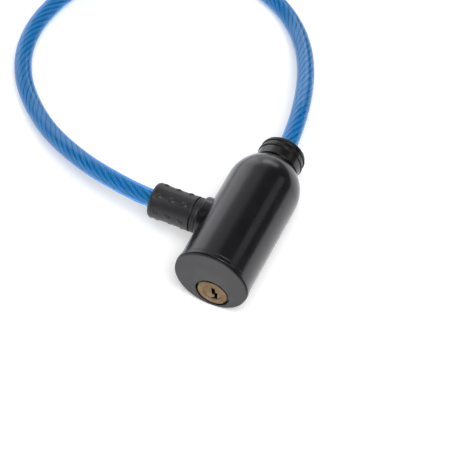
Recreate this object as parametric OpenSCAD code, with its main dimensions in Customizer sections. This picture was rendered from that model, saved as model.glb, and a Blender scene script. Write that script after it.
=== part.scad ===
// Cable lock: cylindrical lock barrel, plug with a locking pin, and a looped cable between them.
// Millimetres, +Z up, origin at the bottom centre of the barrel, +Y from the front face to the cable neck.

/* [Barrel] */
// total length from the front face to the end of the neck
barrel_length = 76; // [68:1:90]
// outer radius of the tubular shell
shell_r = 16; // [14:0.1:18]
// wall of the shell
shell_wall = 1.7; // [1:0.1:2.5]
// how far the front band stands out over the shell; the barrel rests on it
band_proud = 0.4; // [0.2:0.05:1]
// length of the front band
band_len = 2.1; // [1.5:0.1:3]
// how far the face disc stays inside the band
face_inset = 0.3; // [0.1:0.05:0.8]
// thickness of the face disc
face_thick = 1.0; // [0.6:0.1:2]
// length of the ring behind the face disc, up to the cast core
cap_spigot = 1.4; // [1:0.1:2]
// wall of that ring
cap_wall = 1.2; // [0.8:0.1:2]
// radius of the dome's arc
dome_r = 18; // [16.5:0.1:22]
// length of the neck behind the dome
neck_len = 10.25; // [9.5:0.05:13]
// radius of the seat for the neck at the end of the dome
neck_seat_r = 9.3; // [8.8:0.1:10.3]
// length of the neck's base
neck_base = 0.35; // [0.3:0.05:2]
// length of the neck's wide band
neck_band = 4.3; // [2:0.1:5]
// width of each of the neck's two lips
neck_lip = 0.6; // [0.4:0.05:1]
// width of the grooves beside the lips
neck_groove = 0.6; // [0.3:0.05:1]
// gap from the cable's crimped end to the neck
neck_clear = 0.55; // [0.3:0.05:2]
// free length between the core and the dome
core_gap = 1.5; // [1:0.1:3]

/* [Key cylinder] */
// radius of the brass flange
flange_r = 6.7; // [6.2:0.1:7.1]
// gap between the flange and the face disc
face_gap = 0.85; // [0.3:0.05:0.9]
// how far the flange stands behind the face
flange_recess = 0.1; // [0.05:0.05:0.8]
// step from the flange down to the housing
flange_step = 0.9; // [0.6:0.1:1.2]
// how much slimmer the flange is behind the face disc
flange_lip = 0.35; // [0.3:0.05:0.5]
// wall of the housing beside the retaining pin
cross_wall = 0.4; // [0.3:0.05:1]
// wall of the housing behind the retaining pin
housing_wall = 0.45; // [0.4:0.05:2]
// radius of the retaining pin
cross_r = 0.8; // [0.6:0.05:1]
// wall of the core under the housing
key_wall = 0.7; // [0.6:0.1:1.2]
// lean of the cylinder's spine from vertical
key_lean = 6; // [0:1:12]
// width of the housing's spine
spine_w = 4.4; // [4:0.1:5]
// height of the spine over the plug
spine_rise = 8; // [7.5:0.1:9]
// radius of the turning plug
plug_r = 4.0; // [3.8:0.05:4.5]
// number of pin stacks
pin_count = 5; // [3:1:5]
// first pin stack behind the flange
first_pin = 3.1; // [2.8:0.1:4]
// distance between pin stacks
pin_pitch = 3.3; // [3:0.1:3.5]
// radius of the pins
pin_r = 1.15; // [1:0.05:1.25]
// length of the driver pins
driver_len = 3; // [2.5:0.1:3.5]
// length of the keyway
keyway_len = 19.5; // [18:0.5:21]
// thickness of the clip behind the housing
clip_thick = 0.7; // [0.5:0.05:1]
// length of the plug behind the clip
plug_tail = 0.7; // [0.5:0.05:1.5]
// thickness of the cam disc
cam_thick = 1.75; // [1.5:0.05:2.5]
// radius of the cam's stud
stud_r = 0.9; // [0.7:0.05:1]
// distance of the stud from the key axis, which is also the lift of the latch
stud_offset = 1.8; // [1.6:0.1:2]

/* [Latch] */
// free length between the cam and the latch
latch_gap = 0.75; // [0.5:0.05:1.5]
// width of the latch plate across the barrel
latch_w = 5.5; // [5:0.1:6]
// length of the latch plate along the barrel
latch_len = 5; // [4:0.1:6]
// height of the latch under its slot
latch_web = 1.55; // [1.2:0.05:2]
// gap from the latch at rest to the locking pin's bore
latch_rest_gap = 0.22; // [0.1:0.02:0.4]
// gap from the raised latch to the bottom of the pin's groove
groove_gap = 0.3; // [0.1:0.05:0.5]
// wall of the core under the spring
pocket_floor = 1; // [0.8:0.1:1.5]
// radius of the latch spring's coil centre line
latch_spring_r = 1.4; // [1.2:0.1:1.5]
// radius of the latch spring's wire
latch_wire_r = 0.25; // [0.2:0.05:0.3]

/* [Plug] */
// radius of the locking pin
lock_pin_r = 4.0; // [3.5:0.1:4.4]
// tip of the locking pin beyond the barrel axis
pin_tip = 6; // [5:0.5:8]
// wall of the socket's spigot around the locking pin
boss_wall = 1.8; // [1.4:0.1:2.2]
// width of the socket's flange around the spigot
boss_flange = 3.4; // [2:0.1:3.6]
// how far the socket stands out of the shell
boss_proud = 1.2; // [0.8:0.1:2]
// depth of the socket's seat in the core
boss_seat = 2; // [1.5:0.1:3]
// gap between the socket and the collar
collar_gap = 0.2; // [0.1:0.05:0.5]
// radius of the collar on the plug
collar_r = 7.75; // [7:0.05:8.6]
// length of the collar
collar_len = 2.5; // [2:0.1:4]
// thickness of the seal ring
seal_thick = 0.6; // [0.4:0.05:1]
// length of the grip
grip_len = 19.1; // [16:0.1:22]
// how far the grip's front stands out over the collar
grip_proud = 0.05; // [0:0.05:0.5]
// how much slimmer the grip is at its middle
grip_waist = 0.3; // [0:0.05:1]
// length of the shank behind the pin's flange, and of the blind hole for the rope
shank_len = 7.5; // [6:0.1:9]
// base radius of a raised dot on the grip
dot_r = 1.3; // [0.8:0.1:1.5]
// height of a raised dot
dot_h = 0.4; // [0.2:0.05:0.5]
// distance between the dots of a row
dot_pitch = 5.7; // [4.5:0.1:6]
// first dot of a row behind the grip's front
dot_first = 3.85; // [2.5:0.05:4.5]
// turn of the dot pattern about the plug axis
dot_turn = 10; // [-30:1:30]

/* [Cable] */
// radius of the plastic jacket
jacket_r = 4.0; // [3.5:0.1:4.4]
// radius of the steel rope
rope_r = 2.1; // [1.8:0.05:2.4]
// wall of the crimped end in the core
ferrule_wall = 1.3; // [1:0.1:1.6]
// length of the crimped end
ferrule_len = 18; // [14:0.5:18]
// length of the part of it that holds the bare rope
rope_hold = 10; // [8:0.5:12]
// length of the nut's thread in the core
nut_len = 4.4; // [3.5:0.1:5]
// thickness of the nut's hexagon
nut_head = 4; // [3:0.5:5]
// sides of the cable's cross-section
cable_sides = 12; // [8:2:12]
// steps between the two fittings
cable_steps = 35; // [30:1:36]

/* [Fits] */
// radial play of the turning plug
plug_play = 0.05; // [0.02:0.01:0.1]
// radial play of the locking pin
pin_play = 0.08; // [0.02:0.01:0.1]
// radial play of the driver pins in their chambers
chamber_play = 0.1; // [0.05:0.01:0.15]
// radial play of the swivel
swivel_play = 0.1; // [0.05:0.01:0.1]
// play between fixed parts that are set into one another
seat_play = 0.1; // [0.05:0.01:0.15]
// play of the latch in its slot
latch_play = 0.1; // [0.05:0.01:0.2]
// play between the rope and the jacket
rope_play = 0.1; // [0.05:0.01:0.2]
// play between the cable and the grip's parts
grip_play = 0.15; // [0.1:0.01:0.3]

/* [Hidden] */
front_y = -barrel_length / 2;
neck_y = barrel_length / 2;
band_r = shell_r + band_proud;
face_r = band_r - face_inset;
axis_z = band_r;
shell_bore_r = shell_r - shell_wall;
shell_front_s = face_thick + band_len;
core_r = shell_bore_r - seat_play;
core_front_s = face_thick + cap_spigot;

dome_c = shell_r - dome_r;
dome_end_a = acos((neck_seat_r - dome_c) / dome_r);
dome_end_s = barrel_length - neck_len;
dome_start_s = dome_end_s - dome_r * sin(dome_end_a);
inner_dome_r = dome_r - shell_wall;
neck_spigot_r = neck_seat_r - 1.45;
neck_hole_r = neck_spigot_r + seat_play / 2;
inner_end_a = acos((neck_hole_r - dome_c) / inner_dome_r);
arc_steps = 14;
core_rear_s = dome_start_s - core_gap;

housing_r = flange_r - flange_step;
housing_seat_r = housing_r + seat_play;
face_hole_r = flange_r + face_gap;
key_offset = core_r - key_wall - housing_seat_r;
key_x = key_offset * sin(key_lean);
key_z = axis_z - key_offset * cos(key_lean);
spine_h = plug_r + spine_rise;
cover_thick = 0.7;
first_pin_s = core_front_s + first_pin;
keyway_end_s = flange_recess + 0.05 + keyway_len;
last_pin_s = first_pin_s + (pin_count - 1) * pin_pitch;
cross_hole_r = cross_r + seat_play / 2;
cross_s = last_pin_s + pin_r + chamber_play + cross_wall + cross_hole_r;
cross_h = spine_h - 3.5;
cross_in = 6;
housing_rear_s = cross_s + cross_hole_r + housing_wall;
past = 5;
clip_s0 = housing_rear_s + 0.1;
clip_s1 = clip_s0 + clip_thick;
cam_s0 = clip_s1 + plug_tail;
cam_s1 = cam_s0 + cam_thick;
cam_r = plug_r - 0.4;
cam_chamber_r = cam_r + 0.6;
clip_r = housing_r - 0.5;
clip_groove_r = plug_r - 0.8;
tail_w = 3;

latch_s0 = cam_s1 + latch_gap;
latch_s1 = latch_s0 + latch_len;
pin_s = (latch_s0 + latch_s1) / 2;
pin_y = front_y + pin_s;
pin_bore_r = lock_pin_r + pin_play;
stud_play = 0.19;
latch_z0 = key_z - stud_r - stud_play - latch_web;
latch_z1 = axis_z - pin_bore_r - latch_rest_gap;
groove_r = pin_bore_r + latch_rest_gap - stud_offset - groove_gap;
groove_half = latch_w / 2 + 0.25;
pocket_z0 = axis_z - core_r + pocket_floor;

boss_spigot_r = lock_pin_r + boss_wall;
boss_r = boss_spigot_r + boss_flange;
boss_face = shell_r + boss_proud;
boss_floor = core_r - boss_seat;
collar_face = boss_face + collar_gap;
seal_face = collar_face + collar_len;
seal_r = collar_r - 0.6;
grip_face = seal_face + seal_thick;
grip_end = grip_face + grip_len;
grip_front_r = collar_r + grip_proud;
pin_flange_r = jacket_r + 1;
grip_bore_r = pin_flange_r + 0.2;
flange_end = grip_face + 1.5;
cable_end = flange_end + shank_len;
rope_end = cable_end - 5;
shank_r = jacket_r - 0.4;
crimp_r = jacket_r + 1;
grip_floor = grip_end - 1.3;

jacket_bore_r = rope_r + rope_play;
ferrule_bore_r = jacket_r + swivel_play;
ferrule_r = ferrule_bore_r + ferrule_wall;
ferrule_flange_r = ferrule_r + 1.6;
chamber_r = ferrule_flange_r + 0.3;
chamber_s0 = core_rear_s - 8.5;
ferrule_s0 = chamber_s0 + 0.5;
ferrule_s1 = ferrule_s0 + ferrule_len;
ferrule_step_s = ferrule_s0 + rope_hold;
nut_s0 = core_rear_s - nut_len;
washer_thick = 0.8;
hex_proud = 3.2;

steel = [0.72, 0.73, 0.75];
brass = [0.72, 0.60, 0.36];
black = [0.06, 0.06, 0.07];
grey = [0.30, 0.30, 0.32];
zinc = [0.60, 0.61, 0.63];
blue = [0.07, 0.42, 0.80];

// keyway outline as seen from the front, [right, up] from the key axis, drawn for a plug radius of 4
keyway_outline = [[-0.45, 3.35], [0.9, 3.4], [1.3, 3.1], [1.42, 1.0], [2.45, 0.95], [2.38, -2.55], [1.95, -3.0],
    [0.5, -3.5], [-0.4, -3.5], [-0.3, -2.85], [1.0, -2.5], [1.08, -0.25], [0.15, -0.95], [-0.05, 0.2]];

// centre line of the cable from inside the neck to inside the grip
route = [[0, neck_y - 12, axis_z], [0, neck_y, axis_z], [-1, 48, 16.2], [-3.5, 62, 15],
    [-7.5, 76.5, 12.8], [-13, 91, 10], [-20, 104.5, 7.2], [-29, 116.5, 5.2], [-40.5, 126.5, 4.2],
    [-54.5, 133.5, 4.1], [-70, 137, 4.1], [-86, 136.5, 4.1], [-101, 131.5, 4.1], [-114.5, 122.5, 4.1],
    [-126, 110.5, 4.1], [-134, 96, 4.1], [-138, 80.5, 4.1], [-138.5, 65, 4.1], [-135, 50, 4.1],
    [-127.5, 36.5, 4.2], [-116.5, 24.5, 5], [-103, 13.5, 7.3], [-88.5, 4.8, 10.4], [-73.5, -2, 13.4],
    [-59, -6.3, 15.4], [-48, -8.4, 16.2], [-grip_end, pin_y, axis_z], [-grip_end + 10, pin_y, axis_z]];

function unit(v) = v / norm(v);

// point and direction on the smooth curve through the route, u counts route points
function knot(i) = route[max(0, min(len(route) - 1, i))];
function curve(a, b, c, d, t) = 0.5 * ((2 * b) + (c - a) * t + (2 * a - 5 * b + 4 * c - d) * t * t
    + (3 * b - a - 3 * c + d) * t * t * t);
function slope(a, b, c, d, t) = 0.5 * ((c - a) + 2 * (2 * a - 5 * b + 4 * c - d) * t
    + 3 * (3 * b - a - 3 * c + d) * t * t);
function seg(u) = min(len(route) - 2, floor(u));
function at(u) = let(i = seg(u)) curve(knot(i - 1), knot(i), knot(i + 1), knot(i + 2), u - i);
function dir(u) = let(i = seg(u)) unit(slope(knot(i - 1), knot(i), knot(i + 1), knot(i + 2), u - i));

u0 = 1;
u1 = len(route) - 2;
free_c = [for (i = [0 : cable_steps]) at(u0 + (u1 - u0) * i / cable_steps)];
free_t = [for (i = [0 : cable_steps]) dir(u0 + (u1 - u0) * i / cable_steps)];
function cable_c(neck_y, plug_x) = concat([[0, neck_y, axis_z]], free_c, [[-plug_x, pin_y, axis_z]]);
cable_t = concat([[0, 1, 0]], free_t, [[1, 0, 0]]);
cable_u = [for (t = cable_t) unit(cross(t, [0, 0, 1]))];

// ring points of a sweep: centres c, directions t, side vectors u, radius r, n sides
function rings(c, t, u, r, n) = [for (k = [0 : len(c) - 1]) for (i = [0 : n - 1])
    c[k] + r * cos(360 * i / n) * u[k] + r * sin(360 * i / n) * cross(u[k], t[k])];
function wall(base, m, n) = [for (k = [0 : m - 2]) for (i = [0 : n - 1]) for (h = [0, 1])
    let(a = base + k * n + i, b = base + k * n + (i + 1) % n) h == 0 ? [a, b, b + n] : [a, b + n, a + n]];
function flip(f) = [for (p = f) [p[0], p[2], p[1]]];
function lid(o, q, n) = [for (i = [0 : n - 1]) for (h = [0, 1]) let(j = (i + 1) % n)
    h == 0 ? [o + i, o + j, q + j] : [o + i, q + j, q + i]];

module solid_sweep(c, t, u, r, n) {
    m = len(c);
    polyhedron(points = rings(c, t, u, r, n), faces = concat(wall(0, m, n),
        [[for (i = [0 : n - 1]) n - 1 - i]], [[for (i = [0 : n - 1]) (m - 1) * n + i]]));
}

module hollow_sweep(c, t, u, ro, ri, n) {
    m = len(c);
    polyhedron(points = concat(rings(c, t, u, ro, n), rings(c, t, u, ri, n)),
        faces = concat(wall(0, m, n), flip(wall(m * n, m, n)), flip(lid(0, m * n, n)),
            lid((m - 1) * n, m * n + (m - 1) * n, n)));
}

// one unbroken coil, wire centre from z0 to z1
module coil(r, wire, z0, z1, turns) {
    k = turns * 8;
    a = [for (i = [0 : k]) 45 * i];
    rise = (z1 - z0) / (2 * PI * turns);
    solid_sweep([for (i = [0 : k]) [r * cos(a[i]), r * sin(a[i]), z0 + (z1 - z0) * i / k]],
        [for (x = a) unit([-r * sin(x), r * cos(x), rise])], [for (x = a) [cos(x), sin(x), 0]], wire, 6);
    echo(least_gap = (z1 - z0) / turns - 2 * wire);
}

// local z runs along the barrel from the front face
module along_barrel(s = 0) {
    translate([0, front_y + s, axis_z]) rotate([-90, 0, 0]) children();
}

// local z runs along the key axis, local -y points up the spine
module along_key(s = 0) {
    translate([key_x, front_y + s, key_z]) rotate([-90, 0, 0]) rotate([0, 0, -key_lean]) children();
}

// local z runs out of the barrel along the locking pin's axis
module along_pin(t = 0) {
    translate([-t, pin_y, axis_z]) rotate([0, -90, 0]) children();
}

// pin stacks: local z runs up the spine from the key axis
module stacks() {
    for (i = [0 : pin_count - 1]) {
        along_key(first_pin_s + i * pin_pitch) rotate([90, 0, 0]) children();
    }
}

module barrel_shell() {
    color(black) difference() {
        along_barrel() rotate_extrude($fn = 96) polygon(concat(
            [[shell_bore_r, shell_front_s], [shell_r - 0.4, shell_front_s],
                [shell_r - 0.4, shell_front_s + 0.25], [shell_r - 0.15, shell_front_s + 0.25],
                [shell_r, shell_front_s + 0.4]],
            [for (i = [0 : arc_steps]) let(a = dome_end_a * i / arc_steps)
                [dome_c + dome_r * cos(a), dome_start_s + dome_r * sin(a)]],
            [[neck_hole_r, dome_end_s]],
            [for (i = [0 : arc_steps]) let(a = inner_end_a * (1 - i / arc_steps))
                [dome_c + inner_dome_r * cos(a), dome_start_s + inner_dome_r * sin(a)]]));
        along_pin() cylinder(r = boss_spigot_r + seat_play, h = shell_r + past, $fn = 64);
    }
}

module front_band() {
    step_r = shell_r - 0.5;
    color(black) along_barrel() rotate_extrude($fn = 96) polygon([
        [shell_bore_r, face_thick], [step_r, face_thick], [step_r, face_thick + 0.25],
        [band_r - 0.25, face_thick + 0.25], [band_r, face_thick + 0.5], [band_r, shell_front_s - 0.25],
        [band_r - 0.25, shell_front_s], [shell_bore_r, shell_front_s]]);
}

module face_cap() {
    color(grey) difference() {
        along_barrel() rotate_extrude($fn = 96) polygon([
            [0, 0], [face_r - 0.4, 0], [face_r - 0.12, 0.12], [face_r, 0.4], [face_r, face_thick],
            [core_r, face_thick], [core_r, core_front_s], [core_r - cap_wall, core_front_s],
            [core_r - cap_wall, face_thick], [0, face_thick]]);
        along_key(-1) cylinder(r = face_hole_r, h = core_front_s + past, $fn = 64);
    }
}

module neck_collar() {
    bore = jacket_r + 0.2;
    base = neck_seat_r - 0.1;
    s1 = dome_end_s + neck_base;
    s2 = s1 + neck_band;
    s3 = s2 + neck_lip;
    s4 = s3 + neck_groove;
    s7 = barrel_length - 1.5;
    s6 = s7 - 0.5;
    s5 = s6 - neck_lip;
    color(black) along_barrel() rotate_extrude($fn = 80) polygon([
        [bore, ferrule_s1 + neck_clear], [neck_spigot_r, ferrule_s1 + neck_clear],
        [neck_spigot_r, dome_end_s], [base, dome_end_s], [base, s1], [base + 0.55, s1],
        [base + 0.7, s1 + 0.15], [base + 0.7, s2], [base + 0.97, s2], [base + 1.12, s2 + 0.15],
        [base + 1.12, s3 - 0.15], [base + 0.97, s3], [base + 0.3, s3], [base + 0.3, s4], [base + 0.55, s4],
        [base + 0.55, s5], [base + 0.8, s5], [base + 0.95, s5 + 0.15], [base + 0.95, s6 - 0.15],
        [base + 0.8, s6], [base + 0.15, s6], [base + 0.15, s7], [base + 0.5, s7], [base + 0.45, s7 + 0.6],
        [base + 0.2, s7 + 1.05], [base - 0.3, s7 + 1.35], [base - 0.9, barrel_length],
        [bore + 0.6, barrel_length], [bore, barrel_length - 0.6]]);
}

module lock_body() {
    slot_w = latch_w + 2 * latch_play;
    color(zinc) difference() {
        along_barrel(core_front_s) cylinder(r = core_r, h = core_rear_s - core_front_s, $fn = 96);
        along_key(core_front_s - 1) cylinder(r = housing_seat_r, h = clip_s0 - core_front_s + 1, $fn = 64);
        along_key(core_front_s - 1) translate([-spine_w / 2 - seat_play, -spine_h - cover_thick - 0.4, 0])
            cube([spine_w + 2 * seat_play, spine_h + cover_thick + 0.4, clip_s0 - core_front_s + 1]);
        along_key(clip_s0 - 0.5) cylinder(r = clip_r + 0.4, h = clip_s1 - clip_s0 + 0.9, $fn = 64);
        along_key(clip_s1) cylinder(r = cam_chamber_r, h = cam_s1 + 0.15 - clip_s1, $fn = 64);
        along_key(cam_s1) cylinder(r = stud_offset + stud_r + 0.4, h = latch_gap + 0.5, $fn = 64);
        translate([-slot_w / 2, front_y + latch_s0 - latch_play, latch_z0 - 0.2])
            cube([slot_w, latch_len + 2 * latch_play, axis_z - latch_z0]);
        translate([0, pin_y, pocket_z0])
            cylinder(r = latch_spring_r + latch_wire_r + 0.25, h = latch_z0 - pocket_z0 + 1, $fn = 48);
        along_pin(-pin_tip - 0.6) cylinder(r = pin_bore_r, h = pin_tip + core_r + past, $fn = 64);
        along_pin(boss_floor) cylinder(r = boss_spigot_r + seat_play, h = boss_seat + past, $fn = 64);
        along_barrel(chamber_s0) cylinder(r = chamber_r, h = core_rear_s - chamber_s0 + past, $fn = 64);
        cross_hole(cross_in + core_r + past);
    }
}

// hole for the retaining pin, from inside the core out to its right side
module cross_hole(len) {
    along_key(cross_s) translate([-cross_in, -cross_h, 0]) rotate([0, 90, 0])
        cylinder(r = cross_hole_r, h = len, $fn = 32);
}

module cylinder_housing() {
    color(brass) difference() {
        union() {
            along_key() rotate_extrude($fn = 64) polygon([
                [0, flange_recess], [flange_r - 0.2, flange_recess], [flange_r, flange_recess + 0.2],
                [flange_r, face_thick - 0.1], [flange_r - flange_lip, face_thick - 0.1],
                [flange_r - flange_lip, core_front_s], [housing_r, core_front_s],
                [housing_r, housing_rear_s], [0, housing_rear_s]]);
            along_key(core_front_s + 0.2) translate([-spine_w / 2, -spine_h, 0])
                cube([spine_w, spine_h, housing_rear_s - core_front_s - 0.2]);
        }
        along_key(-1) cylinder(r = plug_r + plug_play, h = housing_rear_s + past, $fn = 64);
        stacks() translate([0, 0, plug_r / 2]) cylinder(r = pin_r + chamber_play, h = spine_h, $fn = 32);
        cross_hole(2 * cross_in);
    }
}

module key_plug() {
    color(brass) difference() {
        union() {
            along_key() rotate_extrude($fn = 64) polygon([
                [0, flange_recess + 0.05], [plug_r - 0.15, flange_recess + 0.05],
                [plug_r, flange_recess + 0.2], [plug_r, clip_s0], [clip_groove_r, clip_s0],
                [clip_groove_r, clip_s1], [plug_r - 0.2, clip_s1], [plug_r - 0.2, cam_s0], [0, cam_s0]]);
            along_key(cam_s0 - 0.5) translate([-tail_w / 2, -tail_w / 2, 0])
                cube([tail_w, tail_w, cam_thick + 0.5]);
        }
        along_key(-1) rotate([0, 0, key_lean]) linear_extrude(keyway_end_s + 1)
            polygon([for (p = keyway_outline) [p[0], -p[1]] * plug_r / 4]);
        stacks() translate([0, 0, -0.5]) cylinder(r = pin_r + 0.05, h = plug_r + 2, $fn = 32);
    }
}

module key_pins() {
    top = plug_r - 0.05;
    color(brass) for (i = [0 : pin_count - 1]) {
        foot = -0.4 + 0.4 * (i % 3);
        along_key(first_pin_s + i * pin_pitch) rotate([90, 0, 0]) rotate_extrude($fn = 32) polygon([
            [0, foot], [0.4, foot], [pin_r, foot + 0.8], [pin_r, top - 0.15], [pin_r - 0.2, top], [0, top]]);
    }
}

module driver_pins() {
    color(steel) stacks() translate([0, 0, plug_r + 0.1]) rotate_extrude($fn = 32) polygon([
        [0, 0], [pin_r - 0.15, 0], [pin_r, 0.15], [pin_r, driver_len - 0.15],
        [pin_r - 0.15, driver_len], [0, driver_len]]);
}

module pin_springs() {
    wire = 0.2;
    color(steel) stacks()
        coil(pin_r - 0.35, wire, plug_r + driver_len + 0.12 + wire, spine_h - wire - 0.02, 4);
}

module chamber_cover() {
    color(brass) along_key(first_pin_s - pin_r - 0.5) translate([-1.7, -spine_h - cover_thick, 0])
        cube([3.4, cover_thick, (pin_count - 1) * pin_pitch + 2 * pin_r + 1]);
}

module plug_clip() {
    color(steel) along_key(clip_s0) difference() {
        cylinder(r = clip_r, h = clip_thick, $fn = 64);
        translate([0, 0, -1]) cylinder(r = clip_groove_r + 0.05, h = clip_thick + 2, $fn = 64);
        translate([-1.5, 0, -1]) cube([3, clip_r + 3, clip_thick + 2]);
    }
}

module drive_cam() {
    hole = tail_w + 0.04;
    color(steel) difference() {
        union() {
            along_key(cam_s0) cylinder(r = cam_r, h = cam_thick, $fn = 64);
            translate([key_x - stud_offset, front_y + cam_s1 - 0.5, key_z]) rotate([-90, 0, 0])
                cylinder(r = stud_r, h = latch_gap + latch_len, $fn = 32);
        }
        along_key(cam_s0 - 1) translate([-hole / 2, -hole / 2, 0]) cube([hole, hole, cam_thick + 1]);
    }
}

module latch() {
    color(steel) difference() {
        translate([-latch_w / 2, front_y + latch_s0, latch_z0])
            cube([latch_w, latch_len, latch_z1 - latch_z0]);
        translate([key_x - stud_offset - stud_r - 0.14, front_y + latch_s0 - 1, key_z - stud_r - stud_play])
            cube([stud_offset + 2 * stud_r + 0.3, latch_len + 2, 2 * stud_r + stud_play + 0.42]);
    }
}

module latch_spring() {
    seat = latch_wire_r + 0.02;
    color(steel) translate([0, pin_y, 0])
        coil(latch_spring_r, latch_wire_r, pocket_z0 + seat, latch_z0 - seat, 3);
}

module retaining_pin() {
    color(steel) along_key(cross_s) translate([0.4 - cross_in, -cross_h, 0]) rotate([0, 90, 0])
        cylinder(r = cross_r, h = core_r + cross_in - 2.2, $fn = 32);
}

module socket_boss() {
    color(black) difference() {
        union() {
            difference() {
                along_pin() rotate_extrude($fn = 80) polygon([
                    [0, boss_floor - 2], [boss_r, boss_floor - 2], [boss_r, boss_face - 0.35],
                    [boss_r - 0.35, boss_face], [0, boss_face]]);
                along_barrel(-1) cylinder(r = shell_r + 0.05, h = barrel_length, $fn = 96);
            }
            along_pin(boss_floor) cylinder(r = boss_spigot_r, h = boss_face - boss_floor - 0.5, $fn = 64);
        }
        along_pin() cylinder(r = pin_bore_r, h = boss_face + past, $fn = 64);
    }
}

module gland_nut() {
    color(steel) difference() {
        union() {
            along_barrel(nut_s0) cylinder(r = chamber_r - seat_play, h = nut_len + 0.2, $fn = 64);
            along_barrel(core_rear_s) cylinder(r = chamber_r + hex_proud, h = nut_head, $fn = 6);
        }
        along_barrel(nut_s0 - past)
            cylinder(r = ferrule_r + swivel_play, h = nut_len + nut_head + 2 * past, $fn = 64);
    }
}

module swivel_washer() {
    color(steel) along_barrel(nut_s0 - washer_thick) difference() {
        cylinder(r = chamber_r - 0.2, h = washer_thick, $fn = 64);
        translate([0, 0, -1]) cylinder(r = ferrule_r + swivel_play, h = washer_thick + 2, $fn = 64);
    }
}

module cable_ferrule() {
    bore = rope_r + grip_play;
    wide = ferrule_flange_r;
    s0 = ferrule_s0;
    s1 = s0 + 2.5;
    c = ferrule_step_s + 3;
    r = ferrule_r;
    color(steel) along_barrel() rotate_extrude($fn = 64) polygon([
        [bore, s0], [wide - 0.3, s0], [wide, s0 + 0.3], [wide, s1 - 0.3], [wide - 0.3, s1], [r, s1],
        [r, c], [r - 0.3, c + 0.3], [r - 0.3, c + 1], [r, c + 1.3],
        [r, c + 2.5], [r - 0.3, c + 2.8], [r - 0.3, c + 3.5], [r, c + 3.8],
        [r, ferrule_s1], [ferrule_bore_r, ferrule_s1], [ferrule_bore_r, ferrule_step_s],
        [bore, ferrule_step_s]]);
}

module cable_jacket() {
    color(blue) hollow_sweep(cable_c(front_y + ferrule_step_s, cable_end), cable_t, cable_u,
        jacket_r, jacket_bore_r, cable_sides);
}

module cable_rope() {
    color(steel) solid_sweep(cable_c(front_y + ferrule_s0 + 1.5, rope_end), cable_t, cable_u,
        rope_r, cable_sides);
}

// radius of the grip at a distance t behind its front
function grip_r(t) = grip_front_r - grip_waist * (1 - pow(2 * t / (grip_len - 1.3) - 1, 2));

module grip_sleeve() {
    ball = (dot_r * dot_r + dot_h * dot_h) / (2 * dot_h);
    color(grey) difference() {
        union() {
            along_pin() rotate_extrude($fn = 96) polygon(concat(
                [[0, grip_face], [grip_front_r - 0.25, grip_face]],
                [for (i = [0 : 8]) let(t = 0.25 + (grip_len - 1.55) * i / 8) [grip_r(t), grip_face + t]],
                [[grip_front_r - 0.15, grip_end - 0.7], [grip_front_r - 0.35, grip_end - 0.25],
                    [grip_front_r - 0.7, grip_end], [0, grip_end]]));
            for (row = [0 : 5]) {
                for (k = [0 : 2]) {
                    t = dot_first + dot_pitch * k;
                    along_pin(grip_face + t) rotate([0, 0, 30 + 60 * row + dot_turn])
                        translate([grip_r(t) + dot_h - ball, 0, 0]) sphere(r = ball, $fn = 32);
                }
            }
        }
        along_pin(grip_face - 1) cylinder(r = grip_bore_r, h = grip_floor - grip_face + 1, $fn = 64);
        along_pin(grip_face) cylinder(r = jacket_r + grip_play, h = grip_len + past, $fn = 64);
    }
}

module pin_ferrule() {
    bore = shank_r + 0.05;
    wide = jacket_r + grip_play;
    e = cable_end;
    r = crimp_r;
    color(steel) along_pin() rotate_extrude($fn = 64) polygon([
        [bore, flange_end], [r, flange_end], [r, e + 1], [r - 0.2, e + 1.3], [r - 0.2, e + 2.2],
        [r, e + 2.5], [r, e + 3.5], [r - 0.2, e + 3.8], [r - 0.2, e + 4.6], [r, e + 4.9],
        [r, grip_floor], [wide, grip_floor], [wide, e], [bore, e]]);
}

module lock_pin() {
    r = lock_pin_r;
    hole = rope_r + 0.2;
    color(steel) along_pin() rotate_extrude($fn = 64) polygon([
        [0, -pin_tip], [r - 0.9, -pin_tip], [r, -pin_tip + 0.9], [r, -groove_half],
        [groove_r, -groove_half], [groove_r, groove_half], [r, groove_half], [r, grip_face],
        [pin_flange_r, grip_face], [pin_flange_r, flange_end], [shank_r, flange_end], [shank_r, cable_end],
        [hole, cable_end], [hole, rope_end - 0.5], [0, rope_end - 0.5]]);
}

module pin_collar() {
    bore = lock_pin_r + 0.06;
    r = collar_r;
    line = seal_face - 0.9;
    color(grey) along_pin() rotate_extrude($fn = 80) polygon([
        [bore, collar_face], [r - 0.5, collar_face], [r - 0.15, collar_face + 0.15], [r, collar_face + 0.5],
        [r, line - 0.15], [r - 0.15, line], [r, line + 0.15], [r, seal_face - 0.2],
        [r - 0.2, seal_face], [bore, seal_face]]);
}

module seal_ring() {
    color(black) along_pin(seal_face) difference() {
        cylinder(r = seal_r, h = seal_thick, $fn = 80);
        translate([0, 0, -1]) cylinder(r = lock_pin_r + 0.06, h = seal_thick + 2, $fn = 64);
    }
}

barrel_shell();
front_band();
face_cap();
neck_collar();
lock_body();
cylinder_housing();
key_plug();
key_pins();
driver_pins();
pin_springs();
chamber_cover();
plug_clip();
drive_cam();
latch();
latch_spring();
retaining_pin();
socket_boss();
gland_nut();
swivel_washer();
cable_ferrule();
cable_jacket();
cable_rope();
grip_sleeve();
pin_ferrule();
lock_pin();
pin_collar();
seal_ring();
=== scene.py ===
import math

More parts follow.
